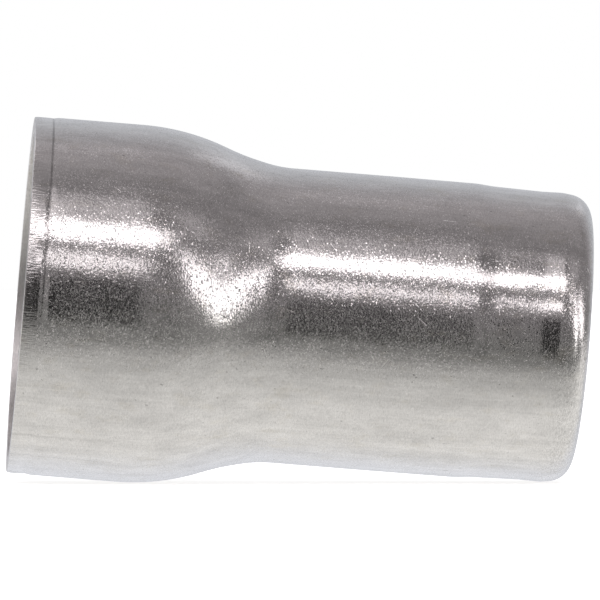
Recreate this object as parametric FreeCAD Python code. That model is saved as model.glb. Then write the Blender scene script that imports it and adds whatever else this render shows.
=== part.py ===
"""Concentric pipe reducer, drawn in one piece from a stainless steel blank.

The axis of the bore is +X and +Z is up. The origin is the centre of the large mouth, and the small
end points along +X. All sizes are in millimetres.
"""
import FreeCAD, Part
import math
import os

# Overall sizes
LENGTH = 55.0
LARGE_END_DIAMETER = 35.0
SMALL_END_DIAMETER = 28.9
WALL = 1.5

# Large end: straight from the mouth to the corner of the shoulder
LARGE_END_LENGTH = 14.9
RIM_BREAK = 0.2

# Cone between the two diameters, with a bend at its shoulder and at its neck
CONE_ANGLE = math.radians(21.0)
SHOULDER_RADIUS = 23.0
NECK_RADIUS = 18.0

# Nose of the small end: sized down by a short step and a fine taper to a straight land
STEP_DEPTH = 0.17
STEP_ANGLE = math.radians(3.5)
TAPER_DEPTH = 0.08
TAPER_LENGTH = 5.6
LAND_LENGTH = 4.2
NOSE_RADIUS = 20.0

# Lip: the wall turns in towards the axis and leaves a round opening, pierced from outside
LIP_RADIUS = 2.5
LIP_DEPTH = 4.2
PIERCED_EDGE_RADIUS = 0.2

ALONG_AXIS = FreeCAD.Vector(1, 0, 0)
ORIGIN = FreeCAD.Vector(0, 0, 0)
FULL_TURN = 360
SHORTEST_STRAIGHT = 1e-6


def corner(along, from_axis, radius=0.0):
    """A corner of the outline: its place in the XZ half plane, and the radius that rounds it."""
    return FreeCAD.Vector(along, 0, from_axis), radius


def slope_angle(drop, radii, steepest):
    """Slope of a step with a bend at each end: the steepest allowed, or what two bare arcs give."""
    return min(steepest, math.acos(1 - drop / radii))


def direction(start, end):
    return (end - start).normalize()


def inner_side(along):
    """Unit vector square to a direction of the outer skin, pointing into the wall."""
    return FreeCAD.Vector(along.z, 0, -along.x)


def turns_inward(before, after):
    """True where the outer skin bends towards the axis, so that its inside has the smaller radius."""
    return after.dot(inner_side(before)) > 0


def outer_skin():
    """Corners of the outer skin, from the mouth to the opening in the lip."""
    large = LARGE_END_DIAMETER / 2
    small = SMALL_END_DIAMETER / 2
    taper = small - STEP_DEPTH
    land = taper - TAPER_DEPTH
    cone_angle = slope_angle(large - small, SHOULDER_RADIUS + NECK_RADIUS, CONE_ANGLE)
    step_angle = slope_angle(STEP_DEPTH, 2 * NOSE_RADIUS, STEP_ANGLE)
    neck_at = LARGE_END_LENGTH + (large - small) / math.tan(cone_angle)
    land_at = LENGTH - LAND_LENGTH
    taper_at = land_at - TAPER_LENGTH
    step_at = taper_at - STEP_DEPTH / math.tan(step_angle)
    return [
        corner(0, large, RIM_BREAK),
        corner(LARGE_END_LENGTH, large, SHOULDER_RADIUS),
        corner(neck_at, small, NECK_RADIUS),
        corner(step_at, small, NOSE_RADIUS),
        corner(taper_at, taper, NOSE_RADIUS),
        corner(land_at, land, NOSE_RADIUS),
        corner(LENGTH, land, LIP_RADIUS),
        corner(LENGTH, land - LIP_DEPTH, PIERCED_EDGE_RADIUS),
    ]


def inner_skin(outer):
    """Corners of the inner skin: the outer skin moved into the wall, with its two ends left sharp."""
    places = [place for place, radius in outer]
    first_side = inner_side(direction(places[0], places[1]))
    last_side = inner_side(direction(places[-2], places[-1]))
    inner = [(places[0] + first_side * WALL, 0.0)]
    for before, (place, radius), after in zip(places, outer[1:], places[2:]):
        arriving = direction(before, place)
        leaving = direction(place, after)
        sides = inner_side(arriving) + inner_side(leaving)
        inset = sides * (WALL / (1 + arriving.dot(leaving)))
        change = -WALL if turns_inward(arriving, leaving) else WALL
        inner.append((place + inset, radius + change))
    inner.append((places[-1] + last_side * WALL, 0.0))
    return inner


def rounded_outline(corners):
    """Closed wire through the corners, each rounded by an arc tangent to its two sides.

    Where one arc ends at the start of the next, there is no straight between them.
    """
    edges = []
    arcs = []
    for index, (place, radius) in enumerate(corners):
        arriving = direction(corners[index - 1][0], place)
        leaving = direction(place, corners[(index + 1) % len(corners)][0])
        half_turn = arriving.getAngle(leaving) / 2
        setback = radius * math.tan(half_turn)
        towards_centre = (leaving - arriving).normalize()
        middle = place + towards_centre * radius * (1 / math.cos(half_turn) - 1)
        arcs.append((place - arriving * setback, middle, place + leaving * setback, radius))
    for index, (start, middle, end, radius) in enumerate(arcs):
        last_end = arcs[index - 1][2]
        if last_end.distanceToPoint(start) > SHORTEST_STRAIGHT:
            edges.append(Part.LineSegment(last_end, start).toShape())
        if radius > 0:
            edges.append(Part.Arc(start, middle, end).toShape())
    return Part.Wire(edges)


def reducer_shell():
    """The wall, with both skins in one outline, turned once about the axis."""
    outer = outer_skin()
    wall = outer + inner_skin(outer)[::-1]
    return Part.Face(rounded_outline(wall)).revolve(ORIGIN, ALONG_AXIS, FULL_TURN)


def main():
    os.makedirs("parts", exist_ok=True)
    reducer_shell().exportStep("parts/reducer_shell.step")


main()
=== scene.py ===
"""Looks of a concentric pipe reducer, drawn in one piece from stainless steel.

The axis of the part is +X, the centre of its large mouth is the origin, and +Z is up. The part lies on a
pale floor, on its shoulder and on the rounded corner of its small end. Lengths are in metres.
"""
import math

import bpy
from mathutils import Matrix, Vector


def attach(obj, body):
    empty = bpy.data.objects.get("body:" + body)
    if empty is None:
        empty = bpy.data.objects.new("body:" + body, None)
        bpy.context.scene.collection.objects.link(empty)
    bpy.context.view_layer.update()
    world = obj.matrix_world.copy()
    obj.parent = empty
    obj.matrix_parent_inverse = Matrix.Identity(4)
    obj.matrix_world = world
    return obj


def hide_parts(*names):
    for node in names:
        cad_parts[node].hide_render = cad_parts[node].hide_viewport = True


MM = 0.001

# Sizes of the wall, the same as in the design
LENGTH = 55.0 * MM
LARGE_RADIUS = 17.5 * MM
SMALL_RADIUS = 14.45 * MM
WALL = 1.5 * MM
LARGE_END_LENGTH = 14.9 * MM
CONE_ANGLE = math.radians(21.0)
SHOULDER_RADIUS = 23.0 * MM
NECK_RADIUS = 18.0 * MM
STEP_DEPTH = 0.17 * MM
STEP_ANGLE = math.radians(3.5)
TAPER_DEPTH = 0.08 * MM
TAPER_LENGTH = 5.6 * MM
LAND_LENGTH = 4.2 * MM
NOSE_RADIUS = 20.0 * MM
LIP_RADIUS = 2.5 * MM
LIP_DEPTH = 4.2 * MM
PIERCED_EDGE_RADIUS = 0.2 * MM

# Sizes that follow from them
LAND_AT = LENGTH - LAND_LENGTH
TAPER_AT = LAND_AT - TAPER_LENGTH
TAPER_RADIUS = SMALL_RADIUS - STEP_DEPTH
LAND_RADIUS = TAPER_RADIUS - TAPER_DEPTH

# Trimmed rim: a torn zone by the edge, a burnished zone, a shallow groove where the trim die stopped, and a
# short run-out up to the drawn skin
RIM_BREAK = 0.12 * MM
EDGE_WIDTH = 0.4 * MM
EDGE_DRAG = 0.02 * MM
TORN_WIDTH = 0.8 * MM
TRIMMED_WIDTH = 1.45 * MM
TRIMMED_DEPTH = 0.06 * MM
GROOVE_AT = 1.8 * MM
GROOVE_DEPTH = 0.1 * MM
GROOVE_RADIUS = 0.5 * MM
RUN_OUT = 2.35 * MM
RUN_OUT_RADIUS = 1.25 * MM

# The cone eases into the neck by way of a flatter zone
EASE_AT = 20.65 * MM
EASE_ANGLE = math.radians(13.0)
EASE_RADIUS = 24.0 * MM
EASED_NECK_RADIUS = 12.0 * MM

# Faint marks of the sizing tools: the small end fades before a crisp step, and the land has a waist
FADE_START = 36.0 * MM
FADE_DEPTH = 0.03 * MM
FADE_RADIUS = 60.0 * MM
CRISP_STEP_ANGLE = math.radians(5.5)
CRISP_STEP_RADIUS = 10.0 * MM
WAIST_AT = 50.15 * MM
WAIST_DEPTH = 0.05 * MM
WAIST_RADIUS = 8.0 * MM

# The turned-in lip leaves the land at a faint crease
LIP_CREASE = 52.1 * MM
CREASE_RADIUS = 3.375 * MM
LIP_LEAN = math.radians(7.5)
LIP_CORNER_RADIUS = 2.25 * MM

# Edges of the inner skin
INNER_RIM_BREAK = 0.06 * MM
INNER_PIERCED_EDGE_RADIUS = 0.05 * MM

# Mesh density
TURNS = 320
STRAIGHT_STEP = 0.9 * MM
ARC_STEP = math.radians(1.6)
TIGHT_RADIUS = 2.75 * MM
TIGHT_ARC_STEP = math.radians(9.0)
WELD = 0.001 * MM
SMOOTH_UP_TO = math.radians(35)

ALONG = Vector((1, 0, 0))


# ---------------------------------------------------------------- outline of the wall

def corner(along, from_axis, radius=0.0):
    """A corner of the outline and the radius that rounds it."""
    return Vector((along, 0, from_axis)), radius


def outer_skin():
    """Corners of the outer skin from the mouth to the opening, with the fine marks of the tools."""
    trimmed = LARGE_RADIUS - TRIMMED_DEPTH
    eased = LARGE_RADIUS - (EASE_AT - LARGE_END_LENGTH) * math.tan(CONE_ANGLE)
    neck_at = EASE_AT + (eased - SMALL_RADIUS) / math.tan(EASE_ANGLE)
    faded = SMALL_RADIUS - FADE_DEPTH
    step_at = TAPER_AT - (STEP_DEPTH - FADE_DEPTH) / math.tan(CRISP_STEP_ANGLE)
    lip = LAND_RADIUS - (LENGTH - LIP_CREASE) * math.tan(LIP_LEAN)
    return [
        corner(0, trimmed - EDGE_DRAG, RIM_BREAK),
        corner(EDGE_WIDTH, trimmed),
        corner(TORN_WIDTH, trimmed),
        corner(TRIMMED_WIDTH, trimmed, RUN_OUT_RADIUS),
        corner(GROOVE_AT, LARGE_RADIUS - GROOVE_DEPTH, GROOVE_RADIUS),
        corner(RUN_OUT, LARGE_RADIUS, RUN_OUT_RADIUS),
        corner(LARGE_END_LENGTH, LARGE_RADIUS, SHOULDER_RADIUS),
        corner(EASE_AT, eased, EASE_RADIUS),
        corner(neck_at, SMALL_RADIUS, EASED_NECK_RADIUS),
        corner(FADE_START, SMALL_RADIUS, FADE_RADIUS),
        corner(step_at, faded, CRISP_STEP_RADIUS),
        corner(TAPER_AT, TAPER_RADIUS, CRISP_STEP_RADIUS),
        corner(WAIST_AT, LAND_RADIUS - WAIST_DEPTH, WAIST_RADIUS),
        corner(LIP_CREASE, LAND_RADIUS, CREASE_RADIUS),
        corner(LENGTH, lip, LIP_CORNER_RADIUS),
        corner(LENGTH, LAND_RADIUS - LIP_DEPTH, PIERCED_EDGE_RADIUS),
    ]


def inner_skin():
    """Corners of the inner skin from the opening back to the mouth, one wall inside the design's skin."""
    bend = WALL * math.tan(CONE_ANGLE / 2)
    nose = WALL * math.tan(STEP_ANGLE / 2)
    neck_at = LARGE_END_LENGTH + (LARGE_RADIUS - SMALL_RADIUS) / math.tan(CONE_ANGLE)
    step_at = TAPER_AT - STEP_DEPTH / math.tan(STEP_ANGLE)
    inside = LENGTH - WALL
    return [
        corner(inside, LAND_RADIUS - LIP_DEPTH, INNER_PIERCED_EDGE_RADIUS),
        corner(inside, LAND_RADIUS - WALL, LIP_RADIUS - WALL),
        corner(LAND_AT, LAND_RADIUS - WALL, NOSE_RADIUS),
        corner(TAPER_AT, TAPER_RADIUS - WALL, NOSE_RADIUS),
        corner(step_at - nose, SMALL_RADIUS - WALL, NOSE_RADIUS),
        corner(neck_at - bend, SMALL_RADIUS - WALL, NECK_RADIUS + WALL),
        corner(LARGE_END_LENGTH - bend, LARGE_RADIUS - WALL, SHOULDER_RADIUS - WALL),
        corner(0, LARGE_RADIUS - WALL, INNER_RIM_BREAK),
    ]


def draw_straight(start, end):
    """Extrudes the live end of the outline to the next point, in steps no longer than STRAIGHT_STEP."""
    steps = max(1, math.ceil((end - start).length / STRAIGHT_STEP))
    for _ in range(steps):
        bpy.ops.mesh.extrude_region_move(TRANSFORM_OT_translate={"value": (end - start) / steps})


def draw_arc(centre, radius, turn):
    """Spins the live end of the outline about the centre of an arc."""
    step = TIGHT_ARC_STEP if radius < TIGHT_RADIUS else ARC_STEP
    steps = max(2, math.ceil(abs(turn) / step))
    axis = (0, -math.copysign(1, turn), 0)
    bpy.ops.mesh.spin(steps=steps, angle=abs(turn), center=centre, axis=axis)


def draw_outline(corners):
    """Draws the closed outline of the wall: straights by extrusion, and arcs by spinning."""
    arcs = []
    for index, (place, radius) in enumerate(corners):
        arriving = (place - corners[index - 1][0]).normalized()
        leaving = (corners[(index + 1) % len(corners)][0] - place).normalized()
        turn = math.atan2(arriving.cross(leaving).y, arriving.dot(leaving))
        setback = radius * math.tan(abs(turn) / 2)
        start = place - arriving * setback
        side = Vector((arriving.z, 0, -arriving.x)) * math.copysign(radius, turn)
        arcs.append((start, start + side, place + leaving * setback, turn, radius))
    bpy.ops.mesh.primitive_plane_add(size=WALL)
    outline = bpy.context.object
    bpy.ops.object.mode_set(mode="EDIT")
    bpy.ops.mesh.select_all(action="SELECT")
    bpy.ops.mesh.merge(type="CENTER")
    bpy.ops.transform.translate(value=arcs[0][2])
    for index in [*range(1, len(arcs)), 0]:
        start, centre, _, turn, radius = arcs[index]
        draw_straight(arcs[index - 1][2], start)
        if radius > 0:
            draw_arc(centre, radius, turn)
    return outline


def drawn_shell():
    """The seamless wall: its outline turned once about the axis."""
    bpy.ops.object.select_all(action="DESELECT")
    outline = draw_outline(outer_skin() + inner_skin())
    outline.name = "drawn_shell"
    bpy.ops.mesh.select_all(action="SELECT")
    bpy.ops.mesh.remove_doubles(threshold=WELD)
    bpy.ops.mesh.select_all(action="SELECT")
    bpy.ops.mesh.spin(steps=TURNS, angle=2 * math.pi, center=(0, 0, 0), axis=ALONG)
    bpy.ops.mesh.select_all(action="SELECT")
    bpy.ops.mesh.remove_doubles(threshold=WELD)
    bpy.ops.mesh.normals_make_consistent(inside=False)
    bpy.ops.object.mode_set(mode="OBJECT")
    bpy.ops.object.shade_smooth_by_angle(angle=SMOOTH_UP_TO)
    return outline


# ---------------------------------------------------------------- shader maths

class Value:
    """A shader socket. An expression on values adds the Math nodes that work it out."""

    def __init__(self, shader, socket):
        self.shader = shader
        self.socket = socket

    def math(self, operation, *others):
        return self.shader.math(operation, self, *others)

    def __add__(self, other):
        return self.math("ADD", other)

    def __sub__(self, other):
        return self.math("SUBTRACT", other)

    def __rsub__(self, other):
        return self.shader.math("SUBTRACT", other, self)

    def __mul__(self, other):
        return self.math("MULTIPLY", other)

    def __truediv__(self, other):
        return self.math("DIVIDE", other)

    def __pow__(self, other):
        return self.math("POWER", other)

    __radd__ = __add__
    __rmul__ = __mul__

    def above(self, other):
        return self.math("MAXIMUM", other)

    def size(self):
        return self.math("ABSOLUTE")

    def step(self, low, high):
        """0 below low and 1 above high, with a smooth rise between them. It falls where low is higher."""
        return self.shader.node(
            "ShaderNodeMapRange",
            {"interpolation_type": "SMOOTHSTEP"},
            {"Value": self, "From Min": low, "From Max": high},
        )

    def band(self, low, high, soft):
        """1 between low and high, and 0 outside."""
        return self.step(low - soft, low + soft) * self.step(high + soft, high - soft)


class Shader:
    """Adds nodes to one node tree."""

    def __init__(self, tree):
        self.tree = tree
        tree.nodes.clear()

    def put(self, socket, value):
        if isinstance(value, Value):
            self.tree.links.new(value.socket, socket)
        else:
            socket.default_value = value

    def add(self, kind, settings=None, inputs=None):
        """A node of that type, with its settings made first and then its sockets' values or links."""
        node = self.tree.nodes.new(kind)
        for name, value in (settings or {}).items():
            setattr(node, name, value)
        for name, value in (inputs or {}).items():
            self.put(node.inputs[name], value)
        return node

    def node(self, kind, settings=None, inputs=None, output=0):
        return Value(self, self.add(kind, settings, inputs).outputs[output])

    def math(self, operation, *values):
        return self.node("ShaderNodeMath", {"operation": operation}, dict(enumerate(values)))

    def vector(self, operation, *values, output="Vector"):
        settings = {"operation": operation}
        return self.node("ShaderNodeVectorMath", settings, dict(enumerate(values)), output)

    def split(self, vector):
        node = self.add("ShaderNodeSeparateXYZ", None, {"Vector": vector})
        return [Value(self, output) for output in node.outputs]

    def join(self, x, y, z):
        return self.node("ShaderNodeCombineXYZ", None, {"X": x, "Y": y, "Z": z})

    def mix(self, factor, first, second):
        """A colour between two colours. A Mix node's colours are its inputs 6 and 7 and its output 2."""
        inputs = {0: factor, 6: first, 7: second}
        return self.node("ShaderNodeMix", {"data_type": "RGBA"}, inputs, 2)

    def noise(self, place, along, around, detail=2.0, roughness=0.5):
        """Noise from 0 to 1 whose features have about the given sizes in metres along and around the axis."""
        scaled = self.vector("DIVIDE", place, (along, around, around))
        inputs = {"Vector": scaled, "Scale": 1.0, "Detail": detail, "Roughness": roughness}
        return self.node("ShaderNodeTexNoise", {"noise_dimensions": "3D"}, inputs)

    def grain(self, *noise):
        """The same noise about zero."""
        return self.noise(*noise) - 0.5


# ---------------------------------------------------------------- drawn stainless steel

CLEAN_STEEL = (0.64, 0.63, 0.62, 1.0)
STAINED_STEEL = (0.62, 0.603, 0.575, 1.0)
SKIN_ROUGHNESS = 0.1

# Size of the fine relief and how high it is
RELIEF = 0.24 * MM
RELIEF_HEIGHT = 0.012 * MM

# Size of the facets, the slope that all have and the slope that the steepest add to it
FACET = 0.12 * MM
FACET_SLOPE = 0.02
STEEP_FACET_SLOPE = 0.26

# Heights of the other marks of the tools
HATCHING_HEIGHT = 0.003 * MM
WAVE_HEIGHT = 0.04 * MM
DRAWING_HEIGHT = 0.0015 * MM
SHAVING_HEIGHT = 0.013 * MM
DRAW_MARK_DEPTH = 0.006 * MM

# Size and depth of the pits, and the range of their noise in which one begins and is full
PIT = 0.45 * MM
PIT_DEPTH = 0.012 * MM
PIT_RANGE = (0.74, 0.8)

# Stains: their size along and around, and the range of their noise in which one begins and is full
STAIN_ALONG = 3.0 * MM
STAIN_AROUND = 1.6 * MM
STAIN_RANGE = (0.52, 0.72)

# Short scratches, one to a cell of that spacing, and how far their pattern is moved
SCRATCH_SPACING = 3.1 * MM
SCRATCH_LENGTH = 0.8 * MM
SCRATCH_WIDTH = 0.04 * MM
SCRATCH_SLOPE = 0.3
SCRATCH_SHIFT = (0.029, 0.01073, 0.02059)

# The flat face of the rim, along the axis
RIM_FACE_FULL_AT = 0.5 * MM
RIM_FACE_ENDS_AT = 1.0 * MM

# How far from each of its edges a zone fades in or out
RIM_FADE = 0.1 * MM
TORN_FADE = 0.25 * MM
GROOVE_FADE = 0.08 * MM
SIZED_FADE = 0.6 * MM

# Painted shade in the groove's bottom, on its upper side, and the heights between which it begins and is full
GROOVE_SHADE_HALF_WIDTH = 0.1 * MM
GROOVE_SHADE_NONE_AT = -2.0 * MM
GROOVE_SHADE_FULL_AT = 3.0 * MM

# Where the sized zone lies along the axis, where the lip's finish begins and where it is full
SIZED_FROM = 43.5 * MM
SIZED_TO = 52.2 * MM
LIP_FROM = 52.4 * MM
LIP_FULL_AT = 53.0 * MM

# The speckled wear low on the small end: where it begins along the axis, the heights between which it sets
# in, and the radii between which it does
WORN_END_FROM = 50.8 * MM
WORN_END_CLEAN_AT = 1.0 * MM
WORN_END_FULL_AT = -3.0 * MM
WORN_END_INNER_RADIUS = 11.5 * MM
WORN_END_OUTER_RADIUS = 13.0 * MM

# The flat end face fades out between these radii
END_FACE_FULL_RADIUS = 11.8 * MM
END_FACE_RADIUS = 12.6 * MM

# Two long draw marks low on the front of the large end. Each has the heights of its edges above the axis and
# its softness, as parts of the radius
DRAW_MARKS = ((-0.775, -0.766, 0.004), (-0.887, -0.882, 0.003))
DRAW_MARKS_FULL_AT = 8.0 * MM
DRAW_MARKS_END_AT = 11.0 * MM
FRONT_FULL_AT = -3.0 * MM


class Zones:
    """The zones of the skin. Each is a value that is 1 in its zone and 0 outside."""

    def __init__(self, shader):
        source = shader.add("ShaderNodeTexCoord")
        self.place = Value(shader, source.outputs["Object"])
        x, y, z = shader.split(self.place)
        radius = (y * y + z * z) ** 0.5
        outward = shader.vector("DIVIDE", shader.join(0.0, y, z), shader.join(radius, radius, radius))
        normal = Value(shader, source.outputs["Normal"])
        facing = shader.vector("DOT_PRODUCT", normal, outward, output="Value")

        self.inside = facing.step(0.0, -0.3)
        outside = 1 - self.inside
        along_axis = facing.size().step(0.5, 0.3)
        self.rim_face = along_axis * x.step(RIM_FACE_ENDS_AT, RIM_FACE_FULL_AT)
        self.rim = x.step(TRIMMED_WIDTH + RIM_FADE, TRIMMED_WIDTH - RIM_FADE) * outside
        self.torn = x.step(TORN_WIDTH + TORN_FADE, TORN_WIDTH - TORN_FADE) * outside
        # Painted shade along the bottom of the groove, full on its upper side
        in_groove = x.band(GROOVE_AT - GROOVE_SHADE_HALF_WIDTH, GROOVE_AT + GROOVE_SHADE_HALF_WIDTH, GROOVE_FADE)
        self.shaded_groove = in_groove * outside * z.step(GROOVE_SHADE_NONE_AT, GROOVE_SHADE_FULL_AT)

        self.sized = x.band(SIZED_FROM, SIZED_TO, SIZED_FADE)
        self.lip = x.step(LIP_FROM, LIP_FULL_AT)
        low = z.step(WORN_END_CLEAN_AT, WORN_END_FULL_AT)
        off_the_face = radius.step(WORN_END_INNER_RADIUS, WORN_END_OUTER_RADIUS)
        self.worn_end = x.step(WORN_END_FROM, LIP_FULL_AT) * low * off_the_face
        self.end_face = radius.step(END_FACE_RADIUS, END_FACE_FULL_RADIUS) * self.lip

        first, second = [(z / radius).band(*edges) for edges in DRAW_MARKS]
        on_front = y.step(0.0, FRONT_FULL_AT)
        self.draw_marks = (first + second) * on_front * x.step(DRAW_MARKS_END_AT, DRAW_MARKS_FULL_AT)


def cells(shader, place, size):
    """Splits space into cells of that size. Gives the random colour of the cell that a point is in, a random
    tilt made from it, and the way from the cell's middle to the point, counted in cells."""
    scaled = shader.vector("DIVIDE", place, size)
    cell = shader.add("ShaderNodeTexVoronoi", None, {"Vector": scaled, "Scale": 1.0, "Randomness": 1.0})
    colour = Value(shader, cell.outputs["Color"])
    tilt = shader.vector("SUBTRACT", colour, (0.5, 0.5, 0.5))
    offset = shader.vector("SUBTRACT", scaled, Value(shader, cell.outputs["Position"]))
    return colour, tilt, offset


def facets(shader, place):
    """Height in metres of small facets: each cell is a plane with its own tilt, and a few are steep."""
    colour, tilt, offset = cells(shader, place, (0.8 * FACET, FACET, FACET))
    rise = shader.vector("DOT_PRODUCT", tilt, offset, output="Value")
    steepness = FACET_SLOPE + STEEP_FACET_SLOPE * shader.split(colour)[0] ** 4
    return rise * steepness * FACET


def scratches(shader, place):
    """Depth in metres of short straight scratches, one to a cell, each with its own direction."""
    moved = shader.vector("ADD", place, SCRATCH_SHIFT)
    _, tilt, offset = cells(shader, moved, (SCRATCH_SPACING,) * 3)
    across = shader.vector("NORMALIZE", tilt)
    away = shader.vector("DOT_PRODUCT", across, offset, output="Value").size() * SCRATCH_SPACING
    along = shader.vector("LENGTH", offset, output="Value") * SCRATCH_SPACING
    here = away.step(SCRATCH_WIDTH, 0.0) * along.step(SCRATCH_LENGTH, 0.6 * SCRATCH_LENGTH)
    return here * (SCRATCH_WIDTH * SCRATCH_SLOPE)


def drawn_stainless():
    """Bare stainless steel with the grain, marks and scratches of drawing, trimming and tumbling."""
    material = bpy.data.materials.new("drawn_stainless")
    material.use_nodes = True
    shader = Shader(material.node_tree)
    zones = Zones(shader)
    place = zones.place

    drawing = shader.grain(place, 9.0 * MM, 0.22 * MM)
    clouds = shader.grain(place, 3.5 * MM, 2.0 * MM, 3.0, 0.65)
    pits = shader.noise(place, PIT, PIT, 1.0).step(*PIT_RANGE)

    # Height of the skin. The fine relief is stronger on the lip, and weaker where tools pressed the skin
    # smooth
    relief = shader.grain(place, 0.8 * RELIEF, RELIEF, 2.0, 0.6) * RELIEF_HEIGHT
    relief = relief * (1 + 0.5 * zones.lip - 1.1 * zones.end_face)
    relief = relief * (1 - 0.45 * zones.sized) * (1 - 0.5 * zones.rim)
    hatching = shader.grain(place, 0.1 * MM, 0.5 * MM, 1.0)
    waves = shader.grain(place, 5.0 * MM, 3.0 * MM, 1.0)
    shaving = shader.grain(place, 0.9 * MM, 0.15 * MM, 1.0)
    height = relief + hatching * HATCHING_HEIGHT
    height = height + facets(shader, place) * (1 - 0.7 * zones.rim) * (1 - 0.4 * zones.sized)
    height = height + waves * WAVE_HEIGHT + drawing * DRAWING_HEIGHT - pits * PIT_DEPTH
    height = height + shaving * SHAVING_HEIGHT * (zones.rim + zones.torn)
    height = height - zones.draw_marks * DRAW_MARK_DEPTH - scratches(shader, place)
    bump = shader.node("ShaderNodeBump", None, {"Height": height, "Strength": 1.0, "Distance": 1.0})

    # Tone, which multiplies the steel's colour
    streaks = shader.grain(place, 14.0 * MM, 1.1 * MM, 2.0, 0.6)
    speckle = shader.grain(place, 0.11 * MM, 0.32 * MM, 2.0, 0.6)
    tone = 1 + 0.4 * clouds + 0.28 * streaks + 0.15 * drawing
    tone = tone + speckle * (0.5 + 0.5 * zones.worn_end - 0.3 * zones.end_face)
    # Painted light: the bore and the flat face of the rim are lightened to lift their shade
    tone = tone + 0.15 * zones.inside + 0.1 * zones.rim_face
    # Painted shade darkens the groove's bottom on its upper side
    tone = tone - 0.45 * zones.shaded_groove - 0.3 * pits - 0.12 * zones.draw_marks
    stain = shader.noise(place, STAIN_ALONG, STAIN_AROUND, 4.0, 0.7).step(*STAIN_RANGE)
    colour = shader.mix(stain, CLEAN_STEEL, STAINED_STEEL)
    colour = shader.vector("MULTIPLY", colour, shader.join(tone, tone, tone))

    roughness = SKIN_ROUGHNESS + 0.03 * clouds + 0.3 * zones.inside + 0.25 * zones.rim_face
    roughness = roughness + 0.06 * zones.torn
    surface = shader.node(
        "ShaderNodeBsdfPrincipled",
        None,
        {"Base Color": colour, "Metallic": 1.0, "Roughness": roughness, "Normal": bump},
    )
    shader.add("ShaderNodeOutputMaterial", None, {"Surface": surface})
    return material


# ---------------------------------------------------------------- studio

def rest():
    """Angle at which the part rests with its shoulder and its small end's corner on the floor, and the point
    of the shoulder that touches the floor, along the axis and below it."""
    bend = SHOULDER_RADIUS * math.tan(CONE_ANGLE / 2)
    shoulder_centre = Vector((LARGE_END_LENGTH - bend, LARGE_RADIUS - SHOULDER_RADIUS))
    corner_centre = Vector((LENGTH - LIP_RADIUS, LAND_RADIUS - LIP_RADIUS))
    between = corner_centre - shoulder_centre
    out = math.atan2(between.y, between.x)
    out += math.acos((SHOULDER_RADIUS - LIP_RADIUS) / between.length)
    touch = shoulder_centre + SHOULDER_RADIUS * Vector((math.cos(out), math.sin(out)))
    return math.pi / 2 - out, touch


def floor():
    """A wide pale floor under the two points that the part rests on. It is clear from below."""
    angle, touch = rest()
    bpy.ops.object.select_all(action="DESELECT")
    bpy.ops.mesh.primitive_circle_add(vertices=96, radius=6.0, fill_type="NGON")
    pale_floor = bpy.context.object
    pale_floor.name = "pale_floor"
    tilt = Matrix.Rotation(-angle, 4, "Y")
    pale_floor.data.transform(Matrix.Translation((touch.x, 0, -touch.y)) @ tilt)
    material = bpy.data.materials.new("pale_floor")
    material.use_nodes = True
    shader = Shader(material.node_tree)
    pale = shader.node(
        "ShaderNodeBsdfPrincipled",
        None,
        {
            "Base Color": (0.9, 0.9, 0.9, 1.0),
            "Roughness": 0.9,
            "Emission Color": (1.0, 1.0, 1.0, 1.0),
            "Emission Strength": 0.6,
        },
    )
    clear = shader.node("ShaderNodeBsdfTransparent")
    from_below = shader.node("ShaderNodeNewGeometry", output="Backfacing")
    both = shader.node("ShaderNodeMixShader", None, {0: from_below, 1: pale, 2: clear})
    shader.add("ShaderNodeOutputMaterial", None, {"Surface": both})
    pale_floor.data.materials.append(material)
    pale_floor.visible_glossy = False
    return angle


def towards(azimuth, elevation):
    """Unit vector. Azimuth 0 is the front of the part and 90 is beyond its small end."""
    a, e = math.radians(azimuth), math.radians(elevation)
    return Vector((math.sin(a) * math.cos(e), -math.cos(a) * math.cos(e), math.sin(e)))


def panel(shader, direction, corners, soft):
    """1 where a direction meets a flat light panel with those corners, listed clockwise from the part."""
    inside = 1.0
    reach = math.sin(math.radians(soft))
    points = [towards(*place) for place in corners]
    for index, point in enumerate(points):
        edge = points[(index + 1) % len(points)].cross(point).normalized()
        beyond = shader.vector("DOT_PRODUCT", direction, tuple(edge), output="Value")
        inside = inside * beyond.step(-reach, reach)
    return inside


# Panels around the part: azimuth and elevation of the corners, softness of the edges, and radiance. Angles
# are in degrees, and a later panel covers an earlier one
PANELS = {
    "wide glow": (((-40, 40), (-55, 70), (14, 66), (11, 40)), 6.0, 0.42),
    "glow above the bench": (((-40, 40), (-55, 66), (4, 66), (4, 40)), 3.0, 0.72),
    "dark curtain": (((13, -20), (13, 62), (24, 62), (27, -20)), 3.0, 0.15),
    "overhead light": (((-34, 37.6), (-36, 49.0), (13, 47.8), (11, 37.8)), 1.6, 3.0),
    "end of the overhead light": (((10, 38.5), (10, 47), (24, 46), (22, 40)), 2.5, 2.0),
    "light strip": (((-34, 21.2), (-35, 26.8), (8, 26.8), (7, 21.2)), 1.5, 2.1),
    "turned softbox": (
        ((46.5, -10), (36, 1), (28, 17), (26.5, 36), (29, 37.5), (46, 14), (52, 4)), 2.5, 2.3,
    ),
    "side softbox": (((50, 14), (48, 32), (58, 30), (84, 8), (82, -4), (66, 2)), 3.0, 1.9),
    "reflector": (((34, 46), (36, 60), (50, 60), (48, 44)), 3.0, 0.48),
    "ceiling tube": (((178.3, 65), (178.3, 70), (200, 70), (200, 65)), 1.0, 0.75),
    "lamp behind": (((150, 30), (150, 55), (160, 50), (168, 20)), 4.0, 0.75),
    "left softbox": (((-92, 12), (-95, 44), (-52, 60), (-46, 16)), 3.0, 1.4),
    "left lamp behind": (((-150, 30), (-150, 60), (-125, 60), (-125, 30)), 4.0, 1.5),
}

# The dark camera stand, with the same angles, and how much light it takes away
STAND = ((-10, -14.5), (-10, 13.5), (4.6, 13.5), (4.6, -14.5))
STAND_SOFTNESS = 1.5
STAND_SHADE = 0.94

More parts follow.
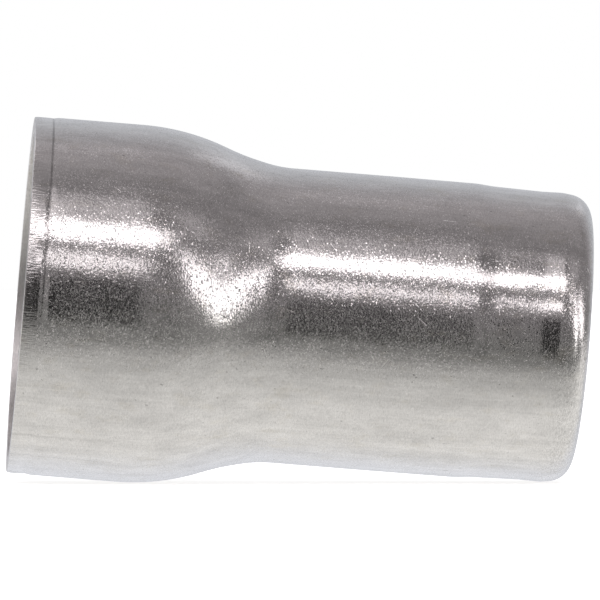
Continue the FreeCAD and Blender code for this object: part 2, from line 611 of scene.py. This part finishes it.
# Radiance of the room without its panels
ROOM_GREY = 0.25
CEILING_GLOW = 0.13
BACKDROP_GLOW = 0.38
NEAR_TABLE = 0.37
TABLE_GLOW = 0.61
FAR_TABLE_SHADE = 0.2

# Tints of the light
WHITE = (1.0, 1.0, 1.0, 1.0)
WARM_BELOW = (1.015, 1.0, 0.97, 1.0)
PINK_ABOVE = (1.07, 1.0, 1.03, 1.0)
COOL_BACKDROP = (0.98, 1.0, 1.06, 1.0)


def studio_light():
    """A light room: a pale table and backdrop, a grey ceiling, light panels and a dark camera stand."""
    world = bpy.data.worlds.new("studio")
    world.use_nodes = True
    bpy.context.scene.world = world
    shader = Shader(world.node_tree)
    direction = shader.node("ShaderNodeTexCoord", output="Generated")
    _, y, z = shader.split(direction)
    ceiling = z.step(0.8, 0.98) * y.step(-0.15, 0.2)
    walls = ROOM_GREY + CEILING_GLOW * ceiling + BACKDROP_GLOW * y.step(0.2, 0.95)
    across_table = y / z.size().above(0.02)
    table = NEAR_TABLE + TABLE_GLOW * across_table.step(-2.4, 0.4)
    table = table - FAR_TABLE_SHADE * across_table.step(1.2, 5.0)
    table_here = z.step(0.02, -0.06) * across_table.step(-2.5, -1.8)
    room = walls + (table - walls) * table_here
    for corners, soft, radiance in PANELS.values():
        room = room + (radiance - room) * panel(shader, direction, corners, soft)
    room = room * (1 - STAND_SHADE * panel(shader, direction, STAND, STAND_SOFTNESS))
    seen = shader.node("ShaderNodeLightPath", output="Is Camera Ray")
    strength = room + (1.0 - room) * seen
    tint = shader.mix(z.step(-0.3, 0.3), WARM_BELOW, PINK_ABOVE)
    tint = shader.mix(y.step(0.3, 0.95), tint, COOL_BACKDROP)
    tint = shader.mix(seen, tint, WHITE)
    background = shader.node("ShaderNodeBackground", None, {"Color": tint, "Strength": strength})
    shader.add("ShaderNodeOutputWorld", None, {"Surface": background})


def floor_light(angle):
    """A broad overhead light that whitens the floor."""
    bpy.ops.object.light_add(type="SUN", rotation=(0, 0, 0))
    sun = bpy.context.object
    sun.name = "overhead"
    sun.data.energy = 1.0
    sun.data.angle = math.radians(90)
    sun.rotation_euler = (0, -angle, 0)
    sun.visible_glossy = False


VIEW_AZIMUTH = math.radians(-2.85)
VIEW_DISTANCE = 0.928
VIEW_WIDTH = 58.72 * MM
VIEW_CENTRE = Vector((27.3, 0, 1.66)) * MM
VIEW_ROLL = math.radians(4.62)
SENSOR = 36.0


def camera():
    """A long lens, level with the part, a little towards its open end."""
    data = bpy.data.cameras.new("camera")
    data.sensor_width = SENSOR
    data.lens = SENSOR * VIEW_DISTANCE / VIEW_WIDTH
    data.clip_start = 0.01
    data.clip_end = 50.0
    eye = bpy.data.objects.new("camera", data)
    bpy.context.scene.collection.objects.link(eye)
    back = Vector((math.sin(VIEW_AZIMUTH), -math.cos(VIEW_AZIMUTH), 0))
    up = Vector((-math.sin(VIEW_ROLL), 0, math.cos(VIEW_ROLL)))
    right = up.cross(back).normalized()
    up = back.cross(right)
    turn = Matrix((right, up, back)).transposed().to_4x4()
    eye.matrix_world = Matrix.Translation(VIEW_CENTRE + back * VIEW_DISTANCE) @ turn
    bpy.context.scene.camera = eye


# ---------------------------------------------------------------- the part in its studio

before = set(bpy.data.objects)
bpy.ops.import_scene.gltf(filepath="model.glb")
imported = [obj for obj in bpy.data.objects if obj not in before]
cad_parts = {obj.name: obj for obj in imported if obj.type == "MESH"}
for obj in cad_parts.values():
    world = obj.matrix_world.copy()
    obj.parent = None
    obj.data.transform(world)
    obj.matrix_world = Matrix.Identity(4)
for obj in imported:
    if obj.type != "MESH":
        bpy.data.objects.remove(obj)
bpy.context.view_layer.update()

shell = drawn_shell()
shell.data.materials.append(drawn_stainless())
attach(shell, "root")
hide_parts("reducer_shell")

resting_angle = floor()
studio_light()
floor_light(resting_angle)
camera()
bpy.context.scene.view_settings.view_transform = "Standard"
